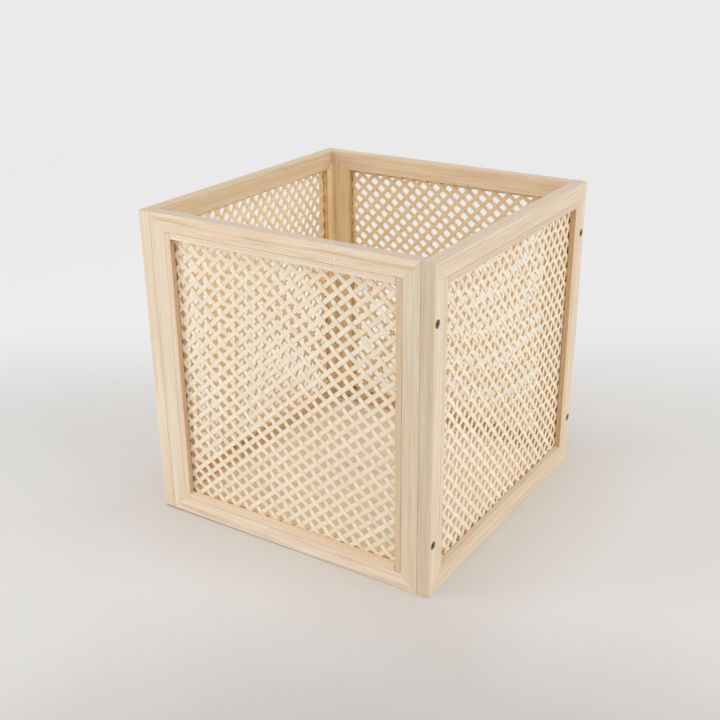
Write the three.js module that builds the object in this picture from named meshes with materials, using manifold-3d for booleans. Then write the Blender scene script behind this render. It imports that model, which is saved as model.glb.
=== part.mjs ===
// Open-topped storage cube: four mitred wooden frames with woven bamboo lattice panels
// Millimetres, +Z up, origin at the centre of the underside, the front faces -Y
import * as THREE from 'three';
import { mergeVertices } from 'three/addons/utils/BufferGeometryUtils.js';
import Module from 'manifold-3d';

const wasm = await Module();
wasm.setup();

// Outer size of the cube
const width = 300;
const depth = 300;
const height = 300;

// Frame timber: the side frames run the full depth, the front and back frames fit between them
const frameThickness = 12;
const railFace = 16;
const lipReach = 2.5;
const stileLipReach = 6;
const lipThickness = 5;
const arris = 0.2;

// Beads: strips laid in the rabbet, flush with the outer face, that hold the lattice from outside
const beadWidth = 5.7;
const beadJoint = 0.3;
const sheetSeat = 0.2;
const sheetPlay = 0.6;

// Joints: the mitres are glued, the frames are screwed together
const glueLine = 0.15;
const frameJoint = 0.15;

// Lattice: bamboo strips in two directions; the drawn net leaves out every second strip
const stripWidth = 4.2;
const stripThickness = 0.6;
const narrowSpacing = 9.7;
const wideSpacing = 10.65;
const drawnEvery = 2;
const cornerStripRatio = 2.4;

// Seen from outside, strips rise to the right or fall to the right at an angle in degrees;
// phase is the share of a spacing by which a strip misses the middle of its panel
const frontWeave = {
  rise: { angle: 41.6, spacing: narrowSpacing, phase: 0.54 },
  fall: { angle: -42.9, spacing: wideSpacing, phase: 0.23 },
};
const backWeave = {
  rise: { angle: 37.7, spacing: narrowSpacing, phase: 0.925 },
  fall: { angle: -47, spacing: wideSpacing, phase: 0.265 },
};
const rightWeave = {
  rise: { angle: 46.5, spacing: wideSpacing, phase: 0.31 },
  fall: { angle: -47.4, spacing: narrowSpacing, phase: 0.145 },
};
const leftWeave = {
  rise: { angle: 49.6, spacing: wideSpacing, phase: 0.93 },
  fall: { angle: -46.9, spacing: narrowSpacing, phase: 0.64 },
};

// Bottom board: thin plywood in a groove round the bottom rails
const boardThickness = 3;
const boardLift = 3;
const grooveDepth = 5;
const boardPlay = 0.3;

// Countersunk screws: through the side frames into the edges of the front and back frames
const screwInset = 50;
const screwTipCover = 3;
const headRadius = 3.5;
const headRim = 0.4;
const headSink = 0.3;
const shankRadius = 1.75;
const tipLength = 4;
const tipRadius = 0.3;
const screwPlay = 0.3;
const recessLength = 4;
const recessWidth = 1;
const recessDepth = 1.6;
const turnedSides = 20;

// How far a cutter runs past the face that it cuts, and how close two corners are to be one
const cutPast = 1;
const mergeWithin = 1e-4;

// End slopes of a bar, in mm of length for every mm further in
const mitred = 1;
const square = 0;

const quarterTurn = Math.PI / 2;

// Looks
const pineLook = { color: '#e4cfae', roughness: 0.62, metalness: 0 };
const beadLook = { color: '#e0c7a4', roughness: 0.6, metalness: 0 };
const bambooLook = { color: '#ecdcb8', roughness: 0.5, metalness: 0 };
const boardLook = { color: '#d6b98f', roughness: 0.65, metalness: 0 };
const screwLook = { color: '#3a3a3c', roughness: 0.38, metalness: 0.9 };

// Worked out from the sizes above
const innerFrameWidth = width - 2 * (frameThickness + frameJoint);
const rabbetDepth = frameThickness - lipThickness;
const sheetThickness = 2 * stripThickness;
const stripOverrun = 2 * stripWidth;
const beadDepth = rabbetDepth - sheetThickness - 2 * sheetSeat;
const screwLength = frameThickness + railFace - screwTipCover;

// A closed solid for cutting and joining, from a closed three.js geometry
function toSolid(geometry) {
  const bare = geometry.clone();
  bare.deleteAttribute('normal');
  bare.deleteAttribute('uv');
  const merged = mergeVertices(bare, mergeWithin);
  const corners = merged.index.array;
  const kept = [];
  for (let i = 0; i < corners.length; i += 3) {
    const [a, b, c] = corners.slice(i, i + 3);
    if (a !== b && b !== c && c !== a) kept.push(a, b, c);
  }
  return new wasm.Manifold(new wasm.Mesh({
    numProp: 3,
    vertProperties: new Float32Array(merged.attributes.position.array),
    triVerts: new Uint32Array(kept),
  }));
}

function fromSolid(solid) {
  const mesh = solid.getMesh();
  const geometry = new THREE.BufferGeometry();
  geometry.setAttribute('position', new THREE.BufferAttribute(new Float32Array(mesh.vertProperties), 3));
  geometry.setIndex(new THREE.BufferAttribute(new Uint32Array(mesh.triVerts), 1));
  return flatShaded(geometry);
}

function flatShaded(geometry) {
  const faceted = geometry.index ? geometry.toNonIndexed() : geometry;
  faceted.computeVertexNormals();
  return faceted;
}

function named(name, geometry, look) {
  const mesh = new THREE.Mesh(geometry, new THREE.MeshStandardMaterial(look));
  mesh.name = name;
  return mesh;
}

// A bar along X: its section is drawn in Y (back from the outer face) and Z (in from the outer edge),
// and each end is cut back by endSlope mm for every mm further in
function bar(length, section, endSlope, setback) {
  const outline = section.map(([back, inward]) => new THREE.Vector2(back, inward));
  const corners = [];
  for (const end of [-1, 1]) {
    for (const { x: back, y: inward } of outline) {
      corners.push(end * (length / 2 - endSlope * inward - setback), back, inward);
    }
  }
  const count = outline.length;
  const faces = [];
  for (const [a, b, c] of THREE.ShapeUtils.triangulateShape(outline, [])) {
    faces.push(a, c, b, a + count, b + count, c + count);
  }
  for (let i = 0; i < count; i += 1) {
    const next = (i + 1) % count;
    faces.push(i, next, next + count, i, next + count, i + count);
  }
  const geometry = new THREE.BufferGeometry();
  geometry.setAttribute('position', new THREE.Float32BufferAttribute(corners, 3));
  geometry.setIndex(faces);
  return flatShaded(geometry);
}

// Rail section, anticlockwise from the outer edge: solid timber, then the rabbet and the inner lip
const railSection = [
  [arris, 0],
  [frameThickness - arris, 0],
  [frameThickness, arris],
  [frameThickness, railFace + lipReach - arris],
  [frameThickness - arris, railFace + lipReach],
  [rabbetDepth, railFace + lipReach],
  [rabbetDepth, railFace],
  [0, railFace],
  [0, arris],
];

const beadSection = [
  [0, 0],
  [beadDepth, 0],
  [beadDepth, beadWidth],
  [arris, beadWidth],
  [0, beadWidth - arris],
];

function mitredRail(length) {
  return bar(length, railSection, mitred, glueLine / Math.SQRT2);
}

// A stile's lip is wider than a rail's: its extra width runs square between the lips of the rails
function mitredStile(length) {
  const lipEdge = railFace + lipReach;
  const extra = stileLipReach - lipReach + arris;
  const strip = new THREE.BoxGeometry(length - 2 * (lipEdge + glueLine), lipThickness, extra);
  strip.translate(0, rabbetDepth + lipThickness / 2, railFace + stileLipReach - extra / 2);
  return fromSolid(toSolid(mitredRail(length)).add(toSolid(strip)));
}

function bead(length) {
  return bar(length, beadSection, square, 0);
}

// Stands a bar on one side of a frame of the given size, `inset` in from that side's outer edge
function onSide(mesh, side, frameWidth, inset) {
  const places = {
    bottom: { x: 0, z: inset, turn: 0 },
    top: { x: 0, z: height - inset, turn: 2 * quarterTurn },
    left: { x: inset - frameWidth / 2, z: height / 2, turn: quarterTurn },
    right: { x: frameWidth / 2 - inset, z: height / 2, turn: -quarterTurn },
  };
  const place = places[side];
  mesh.position.set(place.x, 0, place.z);
  mesh.rotation.y = place.turn;
  return mesh;
}

// The stretch of a strip's centre line that lies over a sheet, as distances along the strip
function stretchOverSheet(angle, offset, sheetWidth, sheetHeight) {
  const along = [Math.cos(angle), Math.sin(angle)];
  const across = [-Math.sin(angle), Math.cos(angle)];
  const half = [sheetWidth / 2, sheetHeight / 2];
  let from = -Infinity;
  let to = Infinity;
  for (const axis of [0, 1]) {
    const a = (-half[axis] - offset * across[axis]) / along[axis];
    const b = (half[axis] - offset * across[axis]) / along[axis];
    from = Math.max(from, Math.min(a, b));
    to = Math.min(to, Math.max(a, b));
  }
  return { from, to };
}

// One layer of parallel strips; a corner strip that would cross fewer than two others is left out
function stripLayer(run, crossingSpacing, sheetWidth, sheetHeight, back) {
  const angle = THREE.MathUtils.degToRad(run.angle);
  const spacing = run.spacing * drawnEvery;
  const shortest = cornerStripRatio * crossingSpacing * drawnEvery;
  const reach = (sheetWidth + sheetHeight) / 2;
  const strips = [];
  for (let i = Math.floor(-reach / spacing); i <= Math.ceil(reach / spacing); i += 1) {
    const offset = i * spacing + run.phase * run.spacing;
    const { from, to } = stretchOverSheet(angle, offset, sheetWidth, sheetHeight);
    if (to - from < shortest) continue;
    const strip = new THREE.BoxGeometry(to - from + 2 * stripOverrun, stripThickness, stripWidth);
    strip.translate((from + to) / 2, back + stripThickness / 2, offset);
    strip.rotateY(-angle);
    strips.push(strip);
  }
  return strips;
}

// The lattice sheet: rising strips outside, falling strips inside, cut to a rectangle
function latticeSheet(weave, sheetWidth, sheetHeight) {
  const strips = [
    ...stripLayer(weave.rise, weave.fall.spacing, sheetWidth, sheetHeight, 0),
    ...stripLayer(weave.fall, weave.rise.spacing, sheetWidth, sheetHeight, stripThickness),
  ];
  let net = toSolid(strips[0]);
  for (const strip of strips.slice(1)) net = net.add(toSolid(strip));
  const sheet = new THREE.BoxGeometry(sheetWidth, sheetThickness + 2 * cutPast, sheetHeight);
  sheet.translate(0, sheetThickness / 2, 0);
  return fromSolid(net.intersect(toSolid(sheet)));
}

// Rails and stiles that the screws and the bottom board go into, cut once all are in place
const rails = [];

// One frame in its own plane: outer face at y = 0, seen from outside with x to the right
function latticeFrame(name, frameWidth, weave, sideNames) {
  const frame = new THREE.Group();
  const sides = { top: 'top', bottom: 'bottom', left: sideNames[0], right: sideNames[1] };
  const beadInset = railFace + beadJoint;
  const levelBead = frameWidth - 2 * (beadInset + beadWidth + beadJoint);
  const uprightBead = height - 2 * beadInset;
  for (const side of Object.keys(sides)) {
    const level = side === 'top' || side === 'bottom';
    const railName = `${name}_${sides[side]}_${level ? 'rail' : 'stile'}`;
    const timber = level ? mitredRail(frameWidth) : mitredStile(height);
    const rail = named(railName, timber, pineLook);
    frame.add(onSide(rail, side, frameWidth, 0));
    rails.push(rail);
    const strip = named(`${name}_${sides[side]}_bead`, bead(level ? levelBead : uprightBead), beadLook);
    frame.add(onSide(strip, side, frameWidth, beadInset));
  }
  const sheetInset = railFace + sheetPlay;
  const sheet = latticeSheet(weave, frameWidth - 2 * sheetInset, height - 2 * sheetInset);
  const lattice = named(`${name}_lattice`, sheet, bambooLook);
  lattice.position.set(0, beadDepth + sheetSeat, height / 2);
  frame.add(lattice);
  return frame;
}

function placedFrame(frame, x, y, turn) {
  frame.position.set(x, y, 0);
  frame.rotation.z = turn;
  return frame;
}

// The bottom board, or with play added on every side the slot that it slides in
function boardBody(play) {
  const reach = 2 * (grooveDepth - boardPlay + play);
  const body = new THREE.BoxGeometry(
    width - 2 * frameThickness + reach,
    depth - 2 * frameThickness + reach,
    boardThickness + 2 * play,
  );
  body.translate(0, 0, boardLift + boardThickness / 2);
  return body;
}

// A turned countersunk screw pointing down -Y from the outer face at y = 0, or with play its bore
function screwBody(play) {
  const coneDepth = headRadius - shankRadius;
  const top = play > 0 ? cutPast : -headSink;
  const profile = [
    [0, -screwLength - play],
    [tipRadius + play, -screwLength - play],
    [shankRadius + play, -screwLength - play + tipLength],
    [shankRadius + play, -headSink - headRim - coneDepth],
    [headRadius + play, -headSink - headRim],
    [headRadius + play, top],
    [0, top],
  ];
  return new THREE.LatheGeometry(profile.map(([r, y]) => new THREE.Vector2(r, y)), turnedSides);
}

function screw() {
  let solid = toSolid(screwBody(0));
  for (const turn of [0, quarterTurn]) {
    const slot = new THREE.BoxGeometry(recessLength, 2 * recessDepth, recessWidth);
    slot.translate(0, -headSink, 0);
    slot.rotateY(turn);
    solid = solid.subtract(toSolid(slot));
  }
  return fromSolid(solid);
}

// Cuts a placed piece by solids given in the cube's own coordinates
function carve(mesh, cutters) {
  mesh.updateWorldMatrix(true, false);
  const placed = mesh.geometry.clone().applyMatrix4(mesh.matrixWorld);
  placed.computeBoundingBox();
  let solid = null;
  for (const cutter of cutters) {
    cutter.computeBoundingBox();
    if (!placed.boundingBox.intersectsBox(cutter.boundingBox)) continue;
    solid = (solid ?? toSolid(placed)).subtract(toSolid(cutter));
  }
  if (solid) mesh.geometry = fromSolid(solid).applyMatrix4(mesh.matrixWorld.clone().invert());
}

const cube = new THREE.Group();
cube.name = 'lattice_storage_cube';

const front = latticeFrame('front', innerFrameWidth, frontWeave, ['left', 'right']);
const back = latticeFrame('back', innerFrameWidth, backWeave, ['right', 'left']);
const right = latticeFrame('right', depth, rightWeave, ['front', 'back']);
const left = latticeFrame('left', depth, leftWeave, ['back', 'front']);
cube.add(placedFrame(front, 0, -depth / 2, 0));
cube.add(placedFrame(back, 0, depth / 2, 2 * quarterTurn));
cube.add(placedFrame(right, width / 2, 0, quarterTurn));
cube.add(placedFrame(left, -width / 2, 0, -quarterTurn));

cube.add(named('bottom_board', boardBody(0), boardLook));

// Eight screws, and the bores that they pass through
const bores = [];
for (const [sideName, out] of [['left', -1], ['right', 1]]) {
  for (const [endName, end] of [['front', -1], ['back', 1]]) {
    for (const [levelName, z] of [['lower', screwInset], ['upper', height - screwInset]]) {
      const fastener = named(`screw_${sideName}_${endName}_${levelName}`, screw(), screwLook);
      fastener.position.set(out * width / 2, end * (depth - frameThickness) / 2, z);
      fastener.rotation.z = -out * quarterTurn;
      fastener.updateMatrix();
      cube.add(fastener);
      bores.push(screwBody(screwPlay).applyMatrix4(fastener.matrix));
    }
  }
}

const cutters = [...bores, boardBody(boardPlay)];
for (const rail of rails) carve(rail, cutters);

export default cube;
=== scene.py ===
import math
import random

import bmesh
import bpy
from mathutils import Euler, Matrix, Vector


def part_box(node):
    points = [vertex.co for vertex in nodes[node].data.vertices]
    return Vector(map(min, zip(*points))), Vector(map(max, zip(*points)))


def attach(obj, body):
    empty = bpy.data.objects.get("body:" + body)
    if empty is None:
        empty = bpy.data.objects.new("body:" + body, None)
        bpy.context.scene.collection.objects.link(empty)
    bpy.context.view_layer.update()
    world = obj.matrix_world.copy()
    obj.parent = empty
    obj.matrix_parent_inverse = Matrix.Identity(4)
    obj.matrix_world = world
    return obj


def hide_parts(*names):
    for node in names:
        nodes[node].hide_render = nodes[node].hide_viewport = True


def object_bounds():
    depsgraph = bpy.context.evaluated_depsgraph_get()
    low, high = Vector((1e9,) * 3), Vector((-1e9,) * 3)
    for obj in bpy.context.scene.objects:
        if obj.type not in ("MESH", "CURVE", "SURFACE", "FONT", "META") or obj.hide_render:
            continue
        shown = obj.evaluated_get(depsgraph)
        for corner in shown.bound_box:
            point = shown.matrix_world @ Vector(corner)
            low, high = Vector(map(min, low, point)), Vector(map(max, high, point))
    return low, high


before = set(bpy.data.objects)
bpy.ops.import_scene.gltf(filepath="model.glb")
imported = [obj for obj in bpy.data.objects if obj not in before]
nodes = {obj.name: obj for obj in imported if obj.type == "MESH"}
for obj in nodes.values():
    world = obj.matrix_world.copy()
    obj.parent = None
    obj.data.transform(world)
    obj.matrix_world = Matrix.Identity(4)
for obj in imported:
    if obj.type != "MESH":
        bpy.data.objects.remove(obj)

cad_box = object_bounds()
MM = 0.001

# Frames: each of the four lattice walls is a mitred frame of pale softwood, planed and left
# unfinished. A top rail, a bottom rail and two stiles are glued at the mitres, and the two side
# frames run past the front and back ones.


class Value:
    """A number from a node; arithmetic on it adds Math nodes"""

    def __init__(self, graph, socket):
        self.graph = graph
        self.socket = socket

    def maths(self, operation, *others):
        return self.graph.add("Math", {"operation": operation}, [self, *others])

    def __add__(self, other):
        return self.maths("ADD", other)

    def __sub__(self, other):
        return self.maths("SUBTRACT", other)

    def __mul__(self, other):
        return self.maths("MULTIPLY", other)

    def __truediv__(self, other):
        return self.maths("DIVIDE", other)

    def __rsub__(self, other):
        return self.graph.add("Math", {"operation": "SUBTRACT"}, [other, self])

    __radd__ = __add__
    __rmul__ = __mul__


class Graph:
    """The nodes of one material, or of the world"""

    def __init__(self, owner):
        owner.use_nodes = True
        self.owner = owner
        self.tree = owner.node_tree
        self.tree.nodes.clear()

    def add(self, kind, settings, inputs=(), output=0):
        node = self.tree.nodes.new("ShaderNode" + kind)
        for name, value in settings.items():
            setattr(node, name, value)
        named = inputs.items() if isinstance(inputs, dict) else enumerate(inputs)
        for key, value in named:
            if isinstance(value, Value):
                self.tree.links.new(value.socket, node.inputs[key])
            else:
                node.inputs[key].default_value = value
        return Value(self, node.outputs[output]) if node.outputs else None

    def place(self):
        return self.add("TexCoord", {}, output="Object")

    def split(self, vector):
        return [self.add("SeparateXYZ", {}, [vector], axis) for axis in "XYZ"]

    def join(self, x, y, z):
        return self.add("CombineXYZ", {}, [x, y, z])

    def noise(self, vector, scale=1.0, detail=2.0, roughness=0.5):
        """Cloudy variation from about -1 to 1"""
        inputs = {"Vector": vector, "Scale": scale, "Detail": detail, "Roughness": roughness}
        return self.add("TexNoise", {}, inputs) * 4 - 2

    def dice(self, number):
        """A random number from 0 to 1 for each whole number"""
        return self.add("TexWhiteNoise", {"noise_dimensions": "1D"}, {"W": number})

    def step(self, value, low, high):
        """0 below low, 1 above high, smooth between"""
        settings = {"interpolation_type": "SMOOTHSTEP"}
        return self.add("MapRange", settings, {"Value": value, "From Min": low, "From Max": high})

    def blend(self, share, first, second):
        settings = {"data_type": "RGBA"}
        return self.add("Mix", settings, {0: share, 6: first, 7: second}, 2)

    def share_along(self, vector, direction):
        """How far a vector reaches along a direction"""
        return self.add("VectorMath", {"operation": "DOT_PRODUCT"}, [vector, direction], 1)

    def shaded(self, colour, share):
        """The colour with its light scaled by share"""
        return self.add("VectorMath", {"operation": "SCALE"}, {"Vector": colour, "Scale": share})

    def times(self, colour, tint):
        return self.add("VectorMath", {"operation": "MULTIPLY"}, [colour, tint])

    def finish(self, colour, roughness, relief=None, depth=MM, metallic=0.0, gloss=0.25):
        """Principled surface; relief is a height from 0 to 1 that stands depth high"""
        inputs = {"Base Color": colour, "Roughness": roughness, "Metallic": metallic}
        inputs["Specular IOR Level"] = gloss
        if relief is not None:
            bump = {"Height": relief, "Strength": 1.0, "Distance": depth}
            inputs["Normal"] = self.add("Bump", {}, bump)
        surface = self.add("BsdfPrincipled", {}, inputs)
        self.add("OutputMaterial", {}, [surface])
        return self.owner


def paint(red, green, blue):
    """A colour as a picture shows it, 0 to 255, turned into the light that it reflects"""
    light = []
    for tone in (red, green, blue):
        share = tone / 255
        light.append(share / 12.92 if share <= 0.04045 else ((share + 0.055) / 1.055) ** 2.4)
    return (*light, 1.0)


# Turns that lay a board's length along X, Y or Z
LENGTHWISE = {"x": (0, 0, 0), "y": (0, 0, math.pi / 2), "z": (0, -math.pi / 2, 0)}


def tinted(colour, red, green, blue):
    """The same colour with its red, green and blue light scaled"""
    return (colour[0] * red, colour[1] * green, colour[2] * blue, 1.0)


def pine(red, green, blue):
    """The pale early wood of one board, its darker late wood and its warm streaks"""
    early = paint(red, green, blue)
    return early, tinted(early, 0.7, 0.63, 0.53), tinted(early, 0.91, 0.8, 0.66)


# What painted shade multiplies the light of the wood by: on an inner face and the sides of a bead,
# on a lip, and on the back of a bead, darkest on upright beads; and the grey of the painted sheen
# and shade on upper faces
PLAIN_TONE = (1.0, 1.0, 1.0, 1.0)
INNER_SHADE_TONE = (0.86, 0.75, 0.62, 1.0)
LIP_SHADE_TONE = (0.8, 0.58, 0.36, 1.0)
LEVEL_BEAD_SHADE_TONE = (1.0, 0.82, 0.56, 1.0)
UPRIGHT_BEAD_SHADE_TONE = (0.5, 0.34, 0.19, 1.0)
TOP_SHEEN_TONE = paint(197, 180, 165)

# The lip starts where the face of a rail or stile ends
face_width = 16 * MM
lip_margin = 0.02 * MM
lip_fade = 0.1 * MM


def timber(
    name, node, grain, heart, ring, tones,
    lean=0.3, figure=0.4, contrast=0.6, streaks=0.5, resin=None, core=0, ripple=None,
    inner_shade=1.0, painted_sheen=0.5, outward=None, toward=None,
):
    """Softwood sawn from a log whose heart lies `heart` mm from the middle of the piece

    Growth rings are cylinders round the heart: where it lies beside a face the rings show there
    as straight lines, and where it lies behind the face they show as broad wavy figure. Resin is
    a warm band between two radii, core the radius of the darker heartwood, and ripple the middle
    and the reach of a stretch where the fibres curl, all in mm. Lean is in degrees. Figure,
    contrast and streaks are the strength of the wander of the rings, of their late wood and of
    the warm streaks.

    Shade is painted into the colour where less light falls: on the inner face of a frame piece,
    whose lip lies toward the opening, and on the sides of a bead, apart from one that faces up. The
    faces of the lip and the back of a bead get their own painted shade, deepest on upright beads.
    Two strengths set the inner face's painted shade and the painted grey sheen and shade on the
    upper faces.
    """
    low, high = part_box(node)
    middle = (low + high) / 2
    graph = Graph(bpy.data.materials.new(name))
    place = graph.place()
    turn = Euler(LENGTHWISE[grain])
    turn.rotate_axis("Y", math.radians(lean))
    turn.rotate_axis("Z", math.radians(lean * 0.6))
    mapping = {
        "Vector": place,
        "Location": middle + Vector(heart) * MM,
        "Rotation": turn,
        "Scale": (MM, MM, MM),
    }
    board = graph.add("Mapping", {"vector_type": "TEXTURE"}, mapping)
    along, across, deep = graph.split(board)

    def drawn_out(length_rate, cross_rate, start=0.0, **settings):
        """Variation that is stretched along the board, its rates in cycles per mm"""
        run = graph.join(along * length_rate + start, across * cross_rate, deep * cross_rate)
        return graph.noise(run, **settings)

    # Rings wander slowly along the board, keep uneven distances and fade in and out. Each one's
    # late wood sets in slowly and ends sharply.
    wander = drawn_out(0.007, 0.045, detail=1.0)
    radius = graph.add("VectorMath", {"operation": "LENGTH"}, [graph.join(0.0, across, deep)], 1)
    radius = radius + wander * figure * ring
    years = radius / ring + graph.noise(graph.join(radius * 0.16, 0.0, 7.0), detail=0.0) * 0.7
    season = years.maths("FRACT")
    year = years.maths("FLOOR")
    late = graph.step(season, 0.3, 0.84) * (1 - graph.step(season, 0.88, 1.0))
    fade = graph.noise(graph.join(along * 0.017, year * 1.7, 0.0), detail=1.0)
    late = late * (graph.dice(year) * 0.7 + 0.3) * (graph.step(fade, -1.0, 0.7) * 0.65 + 0.35)

    # Fibres are long and fine; warm streaks and broad clouds shift the tone along the board
    fibre = drawn_out(0.035, 2.6, detail=3.0, roughness=0.65)
    vein = drawn_out(0.012, 0.75)
    broad = drawn_out(0.009, 0.3, detail=4.0, roughness=0.6)
    cloud = drawn_out(0.012, 0.13, start=3.0)
    streak = drawn_out(0.04, 1.05, start=9.0)
    pale, dark, warm = tones
    colour = graph.blend(late * contrast, pale, dark)
    warmth = graph.step(broad + cloud * 0.5 + vein * 0.25, -0.35, 1.1) * 0.55
    warmth = warmth + graph.step(streak, 0.1, 0.9) * streaks
    if resin:
        inner, outer = resin
        band = graph.step(radius, inner - 0.8, inner + 0.8)
        band = band * (1 - graph.step(radius, outer - 0.8, outer + 0.8))
        warmth = warmth + band * graph.step(vein + streak, -0.5, 0.7) * 0.7
    colour = graph.blend(warmth.maths("MINIMUM", 1.0), colour, warm)
    if core:
        heartwood = 1 - graph.step(radius + vein * 0.3, core - 0.6, core + 0.6)
        colour = graph.blend(heartwood * 0.45, colour, dark)
    if ripple:
        centre, reach = ripple
        curl = (along * 1.75 + graph.noise(board, scale=0.12) * 2.5).maths("SINE")
        offset = (along - centre).maths("ABSOLUTE")
        fibre = fibre + curl * (1 - graph.step(offset, reach * 0.4, reach)) * 0.8
    # Where the wood is darker it is warmer too
    light = fibre * 0.05 + vein * 0.055 + cloud * 0.085
    tint = graph.join(1 + light * 0.85, 1 + light * 1.1, 1 + light * 1.6)
    colour = graph.times(colour, tint)

    # Painted shade on inner faces, bead sides, lips and bead backs; painted grey sheen on upper
    # faces
    normal = graph.add("NewGeometry", {}, output="True Normal")
    upward = graph.split(normal)[2]
    if outward is not None:
        facing = graph.share_along(normal, outward)
        inner_face = 1 - graph.step(facing, -0.6, -0.3)
        if toward is None:
            # Painted shade on the sides and back of a bead, deepest on the back of an upright bead
            shade_share = (1 - graph.step(facing, 0.3, 0.6)) * (1 - graph.step(upward, 0.4, 0.7))
            deep_shade_share = inner_face
            deep_shade_tone = UPRIGHT_BEAD_SHADE_TONE if grain == "z" else LEVEL_BEAD_SHADE_TONE
        else:
            # Painted shade on the inner face and on the lip, and a painted grey sheen on the upper
            # faces
            lip_start = min(low.dot(toward), high.dot(toward)) + face_width + lip_margin
            lip = graph.step(graph.share_along(place, toward), lip_start, lip_start + lip_fade)
            shade_share = inner_face * inner_shade
            deep_shade_share = lip * (1 - inner_face)
            deep_shade_tone = LIP_SHADE_TONE
            top_sheen_share = graph.step(upward, 0.8, 0.95) * (1 - lip) * (painted_sheen + cloud * 0.3)
            colour = graph.blend(top_sheen_share, colour, TOP_SHEEN_TONE)
        # The painted shade is multiplied into the wood's colour
        shade_tint = graph.blend(shade_share, PLAIN_TONE, INNER_SHADE_TONE)
        shade_tint = graph.blend(deep_shade_share, shade_tint, deep_shade_tone)
        colour = graph.times(colour, shade_tint)
    relief = 0.5 + fibre * 0.16 - late * 0.25
    return graph.finish(colour, 0.56 - late * 0.08 + fibre * 0.03, relief, 0.04 * MM)


# The cut of each rail and stile that shows: where the heart of the log lies, in mm from the
# middle of the piece, the width of a year's ring, the tones of the board, and its own traits
CUTS = {
    "front_top_rail": dict(
        heart=(0, 30, 14), ring=1.9, tones=pine(241, 223, 200), lean=0.3, figure=0.5,
        contrast=1.1, streaks=1.3, resin=(37.0, 39.2), ripple=(48, 24), painted_sheen=0.7,
    ),
    "front_bottom_rail": dict(
        heart=(0, 46, -34), ring=3.0, tones=pine(240, 222, 201), lean=0.4, figure=0.8,
        contrast=0.8, streaks=0.8,
    ),
    "front_left_stile": dict(
        heart=(-62, 20, 0), ring=2.3, tones=pine(231, 216, 195), figure=0.6, contrast=0.32,
    ),
    "front_right_stile": dict(
        heart=(70, 26, 0), ring=1.7, tones=pine(227, 212, 189), lean=0.15, contrast=0.42,
    ),
    "left_front_stile": dict(
        heart=(-20, -60, 0), ring=2.6, tones=pine(233, 216, 194), contrast=0.08,
    ),
    "right_top_rail": dict(
        heart=(16, 0, -58), ring=2.5, tones=pine(229, 212, 188), lean=0.2, contrast=0.95,
    ),
    "right_bottom_rail": dict(
        heart=(-24, 0, -60), ring=2.0, tones=pine(227, 212, 186), contrast=0.8,
    ),
    "right_front_stile": dict(
        heart=(-4, -30, 0), ring=2.3, tones=pine(233, 217, 194), lean=0.1, figure=0.2,
        contrast=0.6, core=22.9,
    ),
    "right_back_stile": dict(
        heart=(-8, 66, 0), ring=2.2, tones=pine(228, 212, 190), lean=0.25, contrast=0.5,
    ),
    "left_top_rail": dict(
        heart=(-22, 0, 52), ring=1.6, tones=pine(221, 201, 173), lean=0.6, figure=0.5, contrast=1.1,
        inner_shade=0.0, painted_sheen=0.3,
    ),
    "back_top_rail": dict(
        heart=(0, 50, 30), ring=2.3, tones=pine(234, 213, 185), lean=0.5, figure=0.8, contrast=0.55,
        streaks=0.9, inner_shade=0.0,
    ),
    "left_back_stile": dict(
        heart=(-40, -44, 0), ring=2.4, tones=pine(254, 238, 206), figure=0.5, contrast=0.6,
        inner_shade=0.0,
    ),
    "back_left_stile": dict(
        heart=(-50, 36, 0), ring=2.4, tones=pine(248, 231, 198), figure=0.5, contrast=1.3,
        inner_shade=0.6,
    ),
}

UP = Vector((0, 0, 1))

# The direction that each wall faces
WALLS = {
    "front": Vector((0, -1, 0)),
    "back": Vector((0, 1, 0)),
    "right": Vector((1, 0, 0)),
    "left": Vector((-1, 0, 0)),
}

# What lies left and right in each wall, seen from outside, and the axis of its rails
ACROSS = {
    "front": ("left", "right", "x"),
    "back": ("right", "left", "x"),
    "right": ("front", "back", "y"),
    "left": ("back", "front", "y"),
}
chance = random.Random(11)


def frame_sides(wall):
    """The sides of a wall's frame: name, direction toward the opening, and axis of the grain"""
    left, right, level = ACROSS[wall]
    rightward = UP.cross(WALLS[wall])
    return (
        ("top", -UP, level),
        ("bottom", UP, level),
        (left, rightward, "z"),
        (right, -rightward, "z"),
    )


def any_cut(grain):
    """A cut for a piece that the front views hide: the heart at some distance, at any angle"""
    angle = chance.uniform(0, 2 * math.pi)
    away = chance.uniform(35, 70)
    side, other = away * math.cos(angle), away * math.sin(angle)
    return dict(
        heart={"x": (0, side, other), "y": (side, 0, other), "z": (side, other, 0)}[grain],
        ring=chance.uniform(1.8, 2.8),
        tones=chance.choice([pine(238, 223, 199), pine(231, 215, 191), pine(239, 220, 190)]),
        lean=chance.uniform(0.1, 0.6),
        figure=chance.uniform(0.3, 0.9),
    )


weld_reach = 0.005 * MM
flat_angle = math.radians(1)
arris_angle = math.radians(25)
frame_arris = 0.05 * MM


def ease_edges(piece, width):
    """Joins the loose triangles of a solid, clears its flat faces and rounds its arrises"""
    weld = piece.modifiers.new("weld", "WELD")
    weld.merge_threshold = weld_reach
    clear = piece.modifiers.new("clear", "DECIMATE")
    clear.decimate_type = "DISSOLVE"
    clear.angle_limit = flat_angle
    round_off = piece.modifiers.new("round", "BEVEL")
    round_off.width = width
    round_off.segments = 2
    round_off.limit_method = "ANGLE"
    round_off.angle_limit = arris_angle


def dress(node, material):
    piece = nodes[node]
    piece.data.materials.clear()
    piece.data.materials.append(material)
    return piece


for wall, outward in WALLS.items():
    for side, toward, grain in frame_sides(wall):
        node = f"{wall}_{side}_{'stile' if grain == 'z' else 'rail'}"
        cut = CUTS.get(node) or any_cut(grain)
        wood = timber(node + "_pine", node, grain, outward=outward, toward=toward, **cut)
        ease_edges(dress(node, wood), frame_arris)

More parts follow.
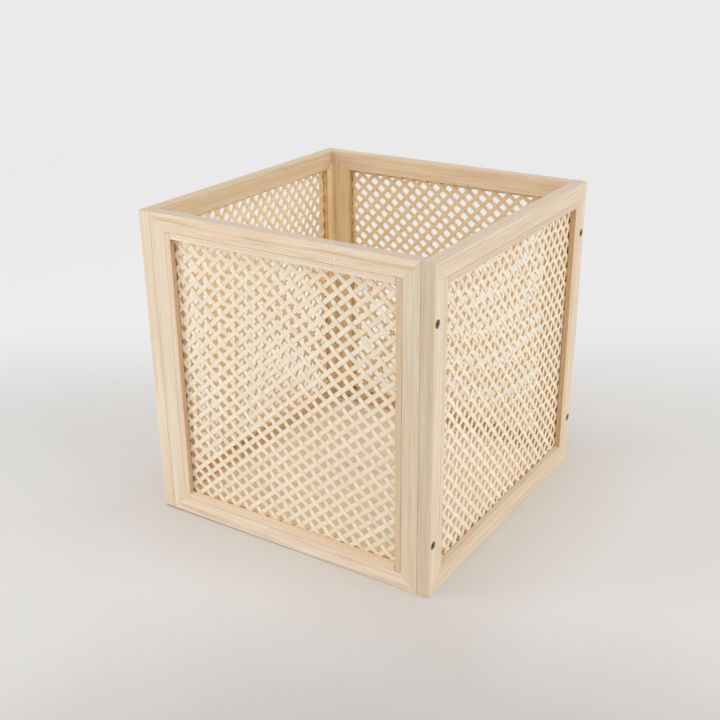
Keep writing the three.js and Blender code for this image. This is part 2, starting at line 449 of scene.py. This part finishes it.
# Mitre glue: a film of wood glue, squeezed out and wiped flush, fills each of the 16 mitres. It
# is the colour of the wood, so a mitre shows only as a change of grain.
glue = Graph(bpy.data.materials.new("wood_glue"))
grit = glue.noise(glue.place(), scale=900.0, detail=3.0)
dried = glue.blend(glue.step(grit, -1.0, 1.0), paint(214, 190, 156), paint(196, 168, 130))
glue_film = glue.finish(dried, 0.6 + grit * 0.05, 0.5 + grit * 0.2, 0.02 * MM)
film_thickness = 0.14 * MM
film_setback = 0.03 * MM


def pick(piece):
    bpy.ops.object.select_all(action="DESELECT")
    bpy.context.view_layer.objects.active = piece
    piece.select_set(True)


def edit(piece):
    pick(piece)
    bpy.ops.object.mode_set(mode="EDIT")


def block(middle, size, turn=0.0):
    """A new block round its middle, turned about Z"""
    bpy.ops.object.select_all(action="DESELECT")
    bpy.ops.mesh.primitive_cube_add(size=1, location=middle, rotation=(0, 0, turn), scale=size)
    piece = bpy.context.object
    bpy.ops.object.transform_apply(location=True, rotation=True, scale=True)
    return piece


def choose(piece, kind, test):
    """Selects the vertices, edges or faces of a piece in edit mode that pass a test"""
    bpy.ops.mesh.select_all(action="DESELECT")
    bpy.ops.mesh.select_mode(type=kind)
    mesh = bmesh.from_edit_mesh(piece.data)
    for item in {"VERT": mesh.verts, "EDGE": mesh.edges, "FACE": mesh.faces}[kind]:
        item.select_set(test(item))
    bmesh.update_edit_mesh(piece.data)


def own_copy(template, name):
    """A copy of a piece with its own mesh"""
    piece = template.copy()
    piece.data = template.data.copy()
    piece.name = name
    piece.data.name = name
    bpy.context.collection.objects.link(piece)
    return piece


def glue_block(middle, size):
    """A film of glue round its middle, its edges chamfered thin"""
    film = block(middle, size)
    edit(film)
    bpy.ops.mesh.select_all(action="SELECT")
    bpy.ops.mesh.bevel(offset=min(size) / 3, segments=1, affect="EDGES")
    bpy.ops.object.mode_set(mode="OBJECT")
    film.data.materials.append(glue_film)
    return film


def wall_plane(low, high, outward):
    """The middle of a box, the way to its right seen from outside, and half its width and height"""
    rightward = UP.cross(outward)
    half_width = abs((high - low).dot(rightward)) / 2
    return (low + high) / 2, rightward, half_width, (high - low).z / 2


for wall, outward in WALLS.items():
    left, right, _ = ACROSS[wall]
    low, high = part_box(f"{wall}_{left}_stile")
    far_low, far_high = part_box(f"{wall}_{right}_stile")
    low = Vector(map(min, low, far_low))
    high = Vector(map(max, high, far_high))
    low.z, high.z = cad_box[0][2], cad_box[1][2]
    middle, rightward, half_width, half_height = wall_plane(low, high, outward)
    depth = abs((high - low).dot(outward)) - 2 * film_setback
    run = (face_width - 2 * film_setback) * math.sqrt(2)
    template = glue_block((run / 2, 0, 0), (run, depth, film_thickness))
    for upper, aloft in (("upper", 1), ("lower", -1)):
        for side, way in ((left, -1), (right, 1)):
            film = own_copy(template, f"{wall}_{upper}_{side}_glue")
            inward = (-rightward * way - UP * aloft).normalized()
            corner = middle + rightward * way * half_width + UP * aloft * half_height
            stand = Matrix((inward, outward, inward.cross(outward))).transposed().to_4x4()
            start = corner + inward * film_setback * math.sqrt(2)
            film.data.transform(Matrix.Translation(start) @ stand)
            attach(film, "root")
    bpy.data.objects.remove(template)

# Bottom board: a thin sheet of plywood that slides into a groove round the four bottom rails.
# It is faced with reddish veneer, and only its top shows, through the lattices.
board_arris = 0.2 * MM
veneer = dict(heart=(0, 90, -26), ring=5.0, tones=pine(247, 234, 214), lean=1.5, figure=1.2)
board_face = timber("bottom_board_veneer", "bottom_board", "x", **veneer)
ease_edges(dress("bottom_board", board_face), board_arris)

# Woven lattices: flat strips of split bamboo in a plain weave, over one and under one, on the
# diagonal. The pale skin side faces out and the pith side faces in; the pith's golden tone is partly
# its own and partly painted warm bounce light. Each sheet is cut to a rectangle and lies in the
# rabbet of its frame, behind the beads.
strip_width = 4.2 * MM
strip_thickness = 0.5 * MM
strip_arris = 0.12 * MM
strip_clearance = 0.02 * MM
strip_rise = strip_thickness / 2 + strip_clearance
narrow_spacing = 9.7 * MM
wide_spacing = 10.65 * MM

# Half of the level stretch of a strip on each crossing, and how it falls to the next one: shares
# of the way with the shares of the fall by there
flat_half = 2.3 * MM
fall_steps = ((0.2, 0.104), (0.5, 0.5), (0.8, 0.896))

# Strips that are shorter than this many crossings are left out. Each one lies a little off its
# place, by a slip in metres and a turn in degrees at most.
shortest_run = 1.3
strip_slip = 0.22 * MM
strip_turn = 0.08

# The steps from one strip to the next in the strips' map and from joint to joint of the cane, mm,
# and the numbers that the strips of a sheet's two directions start from
map_step = 10
cane_joint_step = 243
rising_from = 1
falling_from = 101

# Seen from outside: angle in degrees, spacing, and the share of a spacing by which the strips
# miss the middle of the sheet, first for the strips that rise to the right, then for the others
WEAVES = {
    "front": ((41.6, narrow_spacing, 0.54), (-42.9, wide_spacing, 0.23)),
    "back": ((37.7, narrow_spacing, 0.925), (-47.0, wide_spacing, 0.265)),
    "right": ((46.5, wide_spacing, 0.31), (-47.4, narrow_spacing, 0.145)),
    "left": ((49.6, wide_spacing, 0.93), (-46.9, narrow_spacing, 0.64)),
}


def bamboo(name, pale, deep, lines):
    """Split bamboo: the piece's own map holds mm along a strip, and mm across it plus the strip's
    number of map steps, so that every strip has its own tone and fibres"""
    graph = Graph(bpy.data.materials.new(name))
    run = graph.add("UVMap", {"uv_map": "strip_run"})
    along, beside, _ = graph.split(run)
    strip = (beside / map_step).maths("ROUND")
    across = beside - strip * map_step
    tint = graph.dice(strip)
    other_tint = graph.dice(strip + 0.37)
    fibre_run = graph.join(along * 0.03, across * 1.9, strip * 3.7)
    fibre = graph.noise(fibre_run, detail=3.0, roughness=0.7)
    cloud = graph.noise(graph.join(along * 0.02, across * 0.15, strip * 5.3 + 2.0), detail=2.0)
    edge = graph.step(across.maths("ABSOLUTE"), 1.55, 2.05)
    colour = graph.blend(tint * 0.55 + graph.step(cloud, -0.4, 1.6) * 0.4, pale, deep)
    groove = graph.step(fibre, 0.35, 1.3)
    colour = graph.blend(groove * lines, colour, paint(196, 170, 128))
    # Painted contact shadow: the edges of every strip are darker, as where strips cross over
    colour = graph.blend(edge * 0.25, colour, paint(214, 184, 136))
    # A joint of the cane crosses a strip now and then
    steps = (along + strip * 61.7) / cane_joint_step
    from_joint = steps.maths("FRACT") * cane_joint_step
    joint = graph.step(from_joint, 0.0, 0.7) * (1 - graph.step(from_joint, 0.9, 2.4))
    colour = graph.blend(joint * 0.4, colour, paint(204, 172, 124))
    colour = graph.shaded(colour, 0.98 + other_tint * 0.04 + fibre * 0.03)
    relief = 0.5 + fibre * 0.14 + joint * 0.3
    return graph.finish(colour, 0.46 + fibre * 0.05, relief, 0.03 * MM, gloss=0.35)


skin_side = bamboo("bamboo_skin", paint(246, 233, 211), paint(236, 218, 189), 0.35)
pith_side = bamboo("bamboo_pith", paint(244, 224, 186), paint(234, 206, 158), 0.4)


def apply_all(piece):
    pick(piece)
    for modifier in list(piece.modifiers):
        bpy.ops.object.modifier_apply(modifier=modifier.name)


same_place = 0.001 * MM


def wavy_strip(pitch, reach):
    """A long strip along X whose middle line lies outside at 0 and inside at one pitch"""
    strip = block((pitch, 0, 0), (2 * pitch, strip_width, strip_thickness))
    edit(strip)
    choose(strip, "FACE", lambda face: abs(face.normal.x) > 0.5)
    bpy.ops.mesh.delete(type="ONLY_FACE")
    choose(strip, "EDGE", lambda edge: abs((edge.verts[0].co - edge.verts[1].co).x) > pitch)
    bpy.ops.mesh.bevel(offset=strip_arris, segments=1, affect="EDGES")

    # From the flat on each crossing outside, the strip falls to the crossing inside
    slope_run = pitch - 2 * flat_half
    heights = {0.0: 1.0, 2 * pitch: 1.0}
    for start, way in ((flat_half, 1), (2 * pitch - flat_half, -1)):
        heights[start] = 1.0
        for share, fallen in fall_steps:
            heights[start + way * share * slope_run] = 1 - 2 * fallen
        heights[start + way * slope_run] = -1.0
    for station in heights:
        if 0 < station < 2 * pitch:
            bpy.ops.mesh.select_all(action="SELECT")
            bpy.ops.mesh.bisect(plane_co=(station, 0, 0), plane_no=(1, 0, 0))
    for station, height in heights.items():
        choose(strip, "VERT", lambda corner: abs(corner.co.x - station) < same_place)
        bpy.ops.transform.translate(value=(0, 0, height * strip_rise))
    bpy.ops.object.mode_set(mode="OBJECT")

    repeat = strip.modifiers.new("repeat", "ARRAY")
    repeat.use_relative_offset = False
    repeat.use_constant_offset = True
    repeat.constant_offset_displace = (2 * pitch, 0, 0)
    repeat.count = math.ceil(reach / pitch) + 2
    repeat.use_merge_vertices = True
    repeat.merge_threshold = same_place
    apply_all(strip)

    strip.data.materials.append(skin_side)
    strip.data.materials.append(pith_side)
    for face in strip.data.polygons:
        face.material_index = 0 if face.normal.z > 0.3 else 1
    run = strip.data.uv_layers.active or strip.data.uv_layers.new()
    run.name = "strip_run"
    for corner in strip.data.loops:
        place = strip.data.vertices[corner.vertex_index].co
        run.data[corner.index].uv = (place.x / MM, place.y / MM)
    return strip


def strip_copy(template, number, start):
    """A copy of a strip with its own mesh and its own place in the map"""
    strip = own_copy(template, f"strip_{number}")
    run = strip.data.uv_layers["strip_run"].data
    flat = [0.0] * (2 * len(run))
    run.foreach_get("uv", flat)
    flat[0::2] = [u + start for u in flat[0::2]]
    flat[1::2] = [v + map_step * number for v in flat[1::2]]
    run.foreach_set("uv", flat)
    return strip


def chord(angle, offset, half_width, half_height):
    """The ends of a strip's middle line on a sheet, as distances along the strip"""
    # How far a step along the strip, and one beside it, go level and upright on the sheet
    level = (half_width, math.cos(angle), -math.sin(angle))
    upright = (half_height, math.sin(angle), math.cos(angle))
    ends = []
    for half, way, side in (level, upright):
        ends.append(sorted(((-half - offset * side) / way, (half - offset * side) / way)))
    return max(ends[0][0], ends[1][0]), min(ends[0][1], ends[1][1])


def one_way(run, other, outside_parity, half_width, half_height, first_number):
    """All strips of one direction of a sheet, laid where the other direction's strips cross"""
    degrees, spacing, phase = run
    other_degrees, other_spacing, other_phase = other
    angle = math.radians(degrees)
    slant = math.cos(angle - math.radians(other_degrees))
    crossing = math.sin(angle - math.radians(other_degrees))
    pitch = abs(other_spacing / crossing)
    reach = math.hypot(half_width, half_height)
    template = wavy_strip(pitch, reach)
    strips = []
    last = math.ceil(reach / spacing) + 1
    for index in range(-last, last + 1):
        offset = (index + phase) * spacing
        begin, end = chord(angle, offset, half_width, half_height)
        if end - begin < shortest_run * pitch:
            continue
        # The other way's strip with this number crosses here, and this strip lies outside it
        across_it = (index + outside_parity) % 2
        meets = ((across_it + other_phase) * other_spacing - offset * slant) / crossing
        start = meets + 2 * pitch * math.floor((begin - meets) / (2 * pitch) - 0.5)
        strip = strip_copy(template, first_number + len(strips), chance.uniform(0, 900))
        slip = chance.uniform(-strip_slip, strip_slip)
        skew = math.radians(chance.uniform(-strip_turn, strip_turn))
        turn = Matrix.Rotation(angle + skew, 4, "Z")
        strip.matrix_world = turn @ Matrix.Translation((start, offset + slip, 0))
        strips.append(strip)
    bpy.data.objects.remove(template)
    return strips


def woven_sheet(wall, outward):
    """One wall's lattice: both directions woven, cut to the sheet and set in its frame"""
    low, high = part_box(f"{wall}_lattice")
    middle, rightward, half_width, half_height = wall_plane(low, high, outward)
    rise, fall = WEAVES[wall]
    strips = one_way(rise, fall, 0, half_width, half_height, rising_from)
    strips += one_way(fall, rise, 1, half_width, half_height, falling_from)
    bpy.ops.object.select_all(action="DESELECT")
    for strip in strips:
        strip.select_set(True)
    sheet = strips[0]
    bpy.context.view_layer.objects.active = sheet
    bpy.ops.object.join()
    bpy.ops.object.transform_apply(location=True, rotation=True, scale=True)
    edit(sheet)
    for cut in (Vector((1, 0, 0)), Vector((-1, 0, 0)), Vector((0, 1, 0)), Vector((0, -1, 0))):
        half = half_width if cut.x else half_height
        bpy.ops.mesh.select_all(action="SELECT")
        bpy.ops.mesh.bisect(plane_co=cut * half, plane_no=cut, clear_outer=True, use_fill=True)
    bpy.ops.object.mode_set(mode="OBJECT")
    stand = Matrix((rightward, UP, outward)).transposed().to_4x4()
    sheet.data.transform(Matrix.Translation(middle) @ stand)
    sheet.name = f"{wall}_weave"
    sheet.data.name = sheet.name
    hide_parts(f"{wall}_lattice")
    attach(sheet, "root")


for wall, outward in WALLS.items():
    woven_sheet(wall, outward)

# Beads: small square strips of the same softwood, glued into the rabbet from outside. They hold
# the lattice. Most joints with the frame are filled with glue; a few are dry and show as a line.
BEAD_CUTS = {
    "front_top_bead": dict(heart=(0, 40, 30), ring=2.6, tones=pine(238, 220, 197)),
    "front_left_bead": dict(heart=(-40, 20, 0), ring=2.0, tones=pine(234, 212, 188)),
    "front_right_bead": dict(heart=(30, 44, 0), ring=2.4, tones=pine(223, 198, 165)),
    "front_bottom_bead": dict(heart=(0, 44, 30), ring=2.4, tones=pine(237, 216, 188)),
    "right_top_bead": dict(heart=(30, 0, 40), ring=2.4, tones=pine(221, 199, 174)),
    "right_front_bead": dict(heart=(40, 30, 0), ring=2.4, tones=pine(230, 212, 186)),
    "right_back_bead": dict(heart=(44, -20, 0), ring=2.4, tones=pine(228, 204, 174)),
    "right_bottom_bead": dict(heart=(30, 0, -44), ring=2.4, tones=pine(223, 204, 179)),
}
bead_arris = 0.1 * MM
bead_contrast = 0.35
for wall, outward in WALLS.items():
    for side, toward, grain in frame_sides(wall):
        node = f"{wall}_{side}_bead"
        cut = BEAD_CUTS.get(node) or any_cut(grain)
        wood = timber(node + "_pine", node, grain, contrast=bead_contrast, outward=outward, **cut)
        ease_edges(dress(node, wood), bead_arris)

# The film lies in the joint between bead and rail, from just under the face to the lattice
dry_joints = ("front_top", "front_right", "back_top", "left_front")
joint_film = 0.22 * MM
joint_gap = 0.3 * MM
joint_setback = 0.12 * MM


def lay_joint_glue(name, middle, size):
    film = glue_block(middle, size)
    film.name = name
    film.data.name = name
    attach(film, "root")


for wall, outward in WALLS.items():
    for side, toward, grain in frame_sides(wall):
        if f"{wall}_{side}" in dry_joints:
            continue
        low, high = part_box(f"{wall}_{side}_bead")
        extent = high - low
        lengthwise = outward.cross(toward)
        size = lengthwise * (abs(extent.dot(lengthwise)) - 2 * joint_gap)
        size += outward * (abs(extent.dot(outward)) - 2 * joint_setback) + toward * joint_film
        seat = (low + high) / 2 - toward * (abs(extent.dot(toward)) + joint_gap) / 2
        lay_joint_glue(f"{wall}_{side}_bead_glue", seat, Vector(map(abs, size)))

# The left frame is glued to the front and back ones as well; the right one is only screwed on
for end in ("front", "back"):
    _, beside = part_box(f"left_{end}_stile")
    near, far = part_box(f"{end}_left_stile")
    low = Vector((beside.x, near.y + joint_setback, cad_box[0][2] + joint_gap))
    high = Vector((near.x, far.y - joint_setback, cad_box[1][2] - joint_gap))
    lay_joint_glue(f"left_{end}_joint_glue", (low + high) / 2, high - low)

# Screws: four countersunk steel screws through each side frame into the front and back frames. Their
# heads have a cross recess, black phosphate, a painted highlight ring and painted shade in the
# recess.
head_radius = 3.5 * MM
head_rim = 0.4 * MM
head_cone = 1.75 * MM
shank_radius = 1.75 * MM
tip_radius = 0.3 * MM
tip_length = 4 * MM
recess_reach = 1.75 * MM
recess_width = 0.85 * MM
recess_depth = 1.6 * MM
recess_taper = 0.35
dish_radius = 2.1 * MM
dish_depth = 0.15 * MM
rim_arris = 0.1 * MM


def phosphate(name, dark, painted_sheen):
    """Black steel: the piece's own map holds the distance from the axis and the height, in mm"""
    graph = Graph(bpy.data.materials.new(name))
    turned = graph.add("UVMap", {"uv_map": "turned"})
    from_axis, height, _ = graph.split(turned)
    place = graph.place()
    grit = graph.noise(place, scale=2600.0, detail=4.0, roughness=0.6)
    # A painted highlight: a paler ring on the top of the head between the rim and the recess
    highlight_ring = graph.step(from_axis + grit * 0.25, 1.3, 2.0)
    highlight_ring = highlight_ring * (1 - graph.step(from_axis + grit * 0.2, 2.5, 3.1))
    highlight_ring = highlight_ring * graph.step(height, -0.7, -0.4)
    colour = graph.blend(highlight_ring * 0.85 + grit * 0.06, dark, painted_sheen)
    relief = 0.5 + grit * 0.3
    return graph.finish(colour, 0.42 - highlight_ring * 0.12 + grit * 0.05, relief, 0.02 * MM, metallic=0.85)


screw_steel = phosphate("screw_phosphate", paint(50, 48, 47), paint(132, 128, 124))
# The recess gets a darker steel: painted shade in the hollow
recess_shade_steel = phosphate("screw_recess_shade", paint(22, 21, 21), paint(40, 39, 38))


def turned_screw(length):
    """A screw along Z, its head's top at height 0 and its tip below"""
    bpy.ops.object.select_all(action="DESELECT")
    bpy.ops.mesh.primitive_circle_add(vertices=32, radius=tip_radius, fill_type="NGON")
    body = bpy.context.object
    edit(body)
    bpy.ops.mesh.select_all(action="SELECT")
    bpy.ops.transform.translate(value=(0, 0, -length))
    radius, height = tip_radius, -length
    stations = (
        (shank_radius, -length + tip_length),
        (shank_radius, -head_rim - head_cone),
        (head_radius, -head_rim),
        (head_radius, -rim_arris),
        (head_radius - rim_arris, 0.0),
        (dish_radius, -dish_depth),
    )
    for next_radius, next_height in stations:
        move = {"value": (0, 0, next_height - height)}
        bpy.ops.mesh.extrude_region_move(TRANSFORM_OT_translate=move)
        grow = next_radius / radius
        bpy.ops.transform.resize(value=(grow, grow, 1))
        radius, height = next_radius, next_height
    bpy.ops.mesh.select_all(action="SELECT")
    bpy.ops.mesh.normals_make_consistent(inside=False)
    bpy.ops.object.mode_set(mode="OBJECT")
    body.data.materials.append(screw_steel)
    body.data.materials.append(recess_shade_steel)
    return body


def recess_tool():
    """Two crossed bars that narrow downwards, to cut the recess with"""
    bars = []
    size = (2 * recess_reach, recess_width, 2 * recess_depth)
    for turn in (0, math.pi / 2):
        bar = block((0, 0, 0), size, turn)
        edit(bar)
        choose(bar, "VERT", lambda corner: corner.co.z < 0)
        bpy.ops.transform.resize(value=(recess_taper, recess_taper, 1))
        bpy.ops.object.mode_set(mode="OBJECT")
        bar.data.materials.append(screw_steel)
        bar.data.materials.append(recess_shade_steel)
        for face in bar.data.polygons:
            face.material_index = 1
        bars.append(bar)
    return bars


head_low, head_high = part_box("screw_right_front_upper")
template = turned_screw((head_high - head_low).x)
for bar in recess_tool():
    recess = template.modifiers.new("recess", "BOOLEAN")
    recess.operation = "DIFFERENCE"
    recess.solver = "EXACT"
    recess.object = bar
    apply_all(template)
    bpy.data.objects.remove(bar)
turned = template.data.uv_layers.active or template.data.uv_layers.new()
turned.name = "turned"
for corner in template.data.loops:
    place = template.data.vertices[corner.vertex_index].co / MM
    turned.data[corner.index].uv = (math.hypot(place.x, place.y), place.z)

for side, way in (("left", -1), ("right", 1)):
    for end in ("front", "back"):
        for level in ("lower", "upper"):
            node = f"screw_{side}_{end}_{level}"
            low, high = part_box(node)
            middle = (low + high) / 2
            face = high.x if way > 0 else low.x
            driven = Matrix.Rotation(chance.uniform(0, math.pi / 2), 4, "Z")
            lie = Matrix.Rotation(way * math.pi / 2, 4, "Y")
            piece = own_copy(template, f"{node}_steel")
            piece.data.transform(Matrix.Translation((face, middle.y, middle.z)) @ lie @ driven)
            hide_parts(node)
            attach(piece, "root")
bpy.data.objects.remove(template)

# Floor, light and camera: a plain pale paper floor that lies lower under the left wall, so that a
# thin shadow shows under the front. A soft box lights the front from the left, a broad lamp the
# right side, and another one comes from above.
paper_fall = 1.4 * MM
paper_size = 24
paper_tone = paint(223, 222, 221)
near_shade_tone = paint(200, 196, 193)
far_light_tone = paint(235, 235, 237)
CLOSE_BOUNCE_SHADE_TONE = (0.965, 0.94, 0.915, 1.0)
view_azimuth, view_elevation, view_roll = map(math.radians, (32.989, 23.141, -0.554))
slope = math.atan(paper_fall / (cad_box[1][0] - cad_box[0][0]))
middle = (0, 0, -paper_fall / 2)
bpy.ops.object.select_all(action="DESELECT")
bpy.ops.mesh.primitive_plane_add(size=paper_size, location=middle, rotation=(0, -slope, 0))
floor = bpy.context.object
bpy.ops.object.transform_apply(location=True, rotation=True, scale=True)
floor.name = "floor"

# Distances on the floor, in metres away from the viewer and to the right, set its painted light and
# shade: painted shade in front and at the left, painted light far off, and a painted warm bounce
# and shade close to the cube
paper = Graph(bpy.data.materials.new("floor_paper"))
spot = paper.place()
x, y, _ = paper.split(spot)
away = y * math.cos(view_azimuth) - x * math.sin(view_azimuth)
beside = x * math.cos(view_azimuth) + y * math.sin(view_azimuth)
mottle = paper.noise(spot, scale=5.0, detail=5.0) * 0.02
# Painted shade on the floor in front of the cube, toward the viewer
near = 1 - paper.step(away + beside * beside * 1.6 + mottle, -0.42, -0.12)
near = near * paper.step(away, -0.95, -0.45)
tone = paper.blend(near, paper_tone, near_shade_tone)
tone = paper.blend(paper.step(away + mottle, 0.08, 0.45), tone, far_light_tone)
# Painted shade toward the left, and painted warm bounce light and shade close round the cube
left_shade = (1 - paper.step(beside, -0.35, 0.0)) * (1 - paper.step(away, 0.1, 0.5))
tone = paper.shaded(tone, 1 - left_shade * 0.065)
from_cube = x.maths("ABSOLUTE").maths("MAXIMUM", y.maths("ABSOLUTE"))
bounce_shade_by_cube = 1 - paper.step(from_cube, 0.15, 0.27)
tone = paper.times(tone, paper.blend(bounce_shade_by_cube, PLAIN_TONE, CLOSE_BOUNCE_SHADE_TONE))
floor.data.materials.append(paper.finish(tone, 0.9))

# The surroundings light the cube more dimly than they look
world = bpy.data.worlds.new("studio")
bpy.context.scene.world = world
sky = Graph(world)
ray_kinds = ("Camera", "Glossy", "Transmission")
rays = [sky.add("LightPath", {}, output=f"Is {kind} Ray") for kind in ray_kinds]
seen = rays[0].maths("MAXIMUM", rays[1]).maths("MAXIMUM", rays[2])
ambient = sky.add("Background", {}, [(1, 0.995, 0.985, 1), 0.8])
plain = sky.add("Background", {}, [(1, 1, 1, 1), 1.0])
sky.add("OutputWorld", {}, [sky.add("MixShader", {}, [seen, ambient, plain])])
cube_middle = Vector((0, 0, 150 * MM))


def lamp_holder(name, kind, azimuth, elevation):
    """A lamp and the direction that it stands in: azimuth 0 is the front, 90 the right side"""
    lamp = bpy.data.lights.new(name, kind)
    holder = bpy.data.objects.new(name, lamp)
    bpy.context.scene.collection.objects.link(holder)
    turn, tip = math.radians(azimuth), math.radians(elevation)
    level = math.cos(tip)
    source = Vector((math.sin(turn) * level, -math.cos(turn) * level, math.sin(tip)))
    holder.rotation_euler = source.to_track_quat("Z", "Y").to_euler()
    return lamp, holder, source


def soft_sun(name, azimuth, elevation, strength, angle):
    lamp, _, _ = lamp_holder(name, "SUN", azimuth, elevation)
    lamp.energy = strength
    lamp.angle = math.radians(angle)


def soft_box(name, azimuth, elevation, power, distance, size, spread):
    """A square lamp that shines on the middle of the cube"""
    lamp, holder, source = lamp_holder(name, "AREA", azimuth, elevation)
    lamp.energy = power
    lamp.shape = "SQUARE"
    lamp.size = size
    lamp.spread = math.radians(spread)
    holder.location = source * distance + cube_middle
    holder.visible_camera = False


soft_box("front_lamp", -45, 10, power=1.45, distance=1.25, size=0.5, spread=120)
soft_sun("right_lamp", 98, 20, strength=0.86, angle=40)
soft_sun("top_lamp", -10, 60, strength=0.32, angle=60)

# The camera's place, lens and turn were fitted to the corners of the cube in the photograph
camera_data = bpy.data.cameras.new("camera")
camera_data.sensor_width = 36
camera_data.lens = 53.68
camera_data.clip_end = 100
camera = bpy.data.objects.new("camera", camera_data)
bpy.context.scene.collection.objects.link(camera)
level = math.cos(view_elevation)
ahead = (-math.sin(view_azimuth) * level, math.cos(view_azimuth) * level, -math.sin(view_elevation))
forward = Vector(ahead)
level_right = forward.cross(UP).normalized()
level_up = level_right.cross(forward)
camera_right = level_right * math.cos(view_roll) + level_up * math.sin(view_roll)
camera_up = level_up * math.cos(view_roll) - level_right * math.sin(view_roll)
stand = Matrix((camera_right, camera_up, -forward)).transposed()
camera.rotation_euler = stand.to_euler()
camera.location = Vector((518.6, -822.0, 549.5)) * MM
bpy.context.scene.camera = camera
bpy.context.scene.view_settings.view_transform = "Standard"
